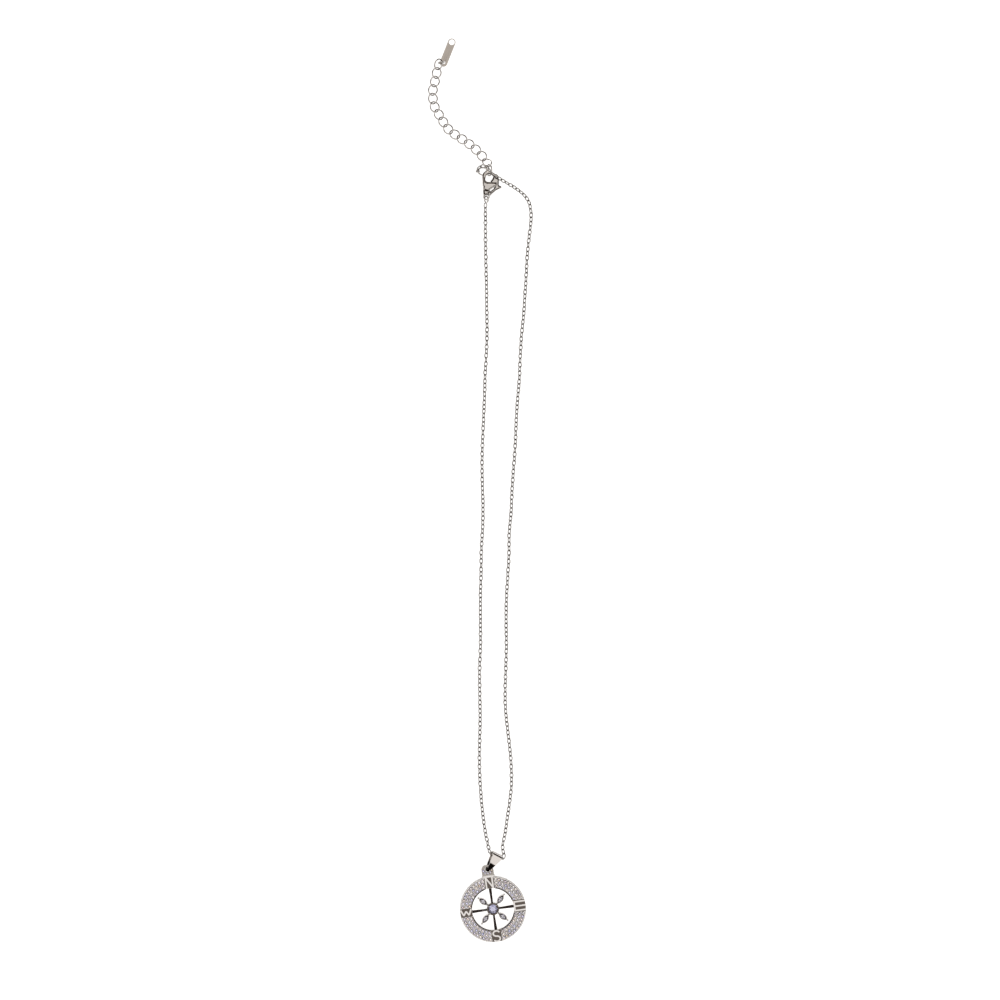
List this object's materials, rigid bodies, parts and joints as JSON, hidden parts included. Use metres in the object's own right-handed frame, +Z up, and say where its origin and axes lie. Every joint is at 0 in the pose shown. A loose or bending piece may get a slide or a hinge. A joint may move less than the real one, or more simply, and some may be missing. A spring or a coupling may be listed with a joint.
{
  "type": "compass pendant necklace",
  "caption": "Round compass pendant set with clear stones on a fine cable chain with a lobster clasp, an extender and a plain end tag, lying flat.",
  "frame": {"origin": "centre of the pendant's flat back, where it rests on the surface", "axes": "+Z up from the surface, +Y from the pendant along the chain towards the clasp and the tag"},
  "size_m": [0.0336, 0.2888, 0.0043],
  "materials": {
    "polished_metal": "bright rhodium plate",
    "satin_metal": "satin",
    "clear_stone": "cut and polished"
  },
  "bodies": {
    "necklace": {"compass_frame": "polished_metal", "bail": "polished_metal", "chain_left": "polished_metal", "chain_right": "polished_metal", "clasp_body": "polished_metal", "clasp_rivet": "polished_metal", "clasp_ring": "polished_metal", "chain_end_ring": "polished_metal", "chain_end_link": "polished_metal", "extender_link_01": "polished_metal", "extender_link_02": "polished_metal", "extender_link_03": "polished_metal", "extender_link_04": "polished_metal", "extender_link_05": "polished_metal", "extender_link_06": "polished_metal", "extender_link_07": "polished_metal", "extender_link_08": "polished_metal", "extender_link_09": "polished_metal", "extender_link_10": "polished_metal", "extender_link_11": "polished_metal", "extender_link_12": "polished_metal", "extender_link_13": "polished_metal", "extender_link_14": "polished_metal", "extender_link_15": "polished_metal", "extender_link_16": "polished_metal", "tag_ring": "polished_metal", "tag": "satin_metal", "pave_stones": "clear_stone", "centre_stone": "clear_stone", "stone_ne": "clear_stone", "stone_nw": "clear_stone", "stone_sw": "clear_stone", "stone_se": "clear_stone"},
    "lever": {"clasp_lever": "polished_metal"}
  },
  "joints": [
    {"name": "lever_hinge", "type": "hinge", "parent": "necklace", "child": "lever", "pos_m": [-0.00111, 0.22854, 0.00122], "axis": [-0.0181, -0.2071, 0.9781], "range_deg": [0, 10], "stiffness_Nm_per_rad": 0.002}
  ]
}
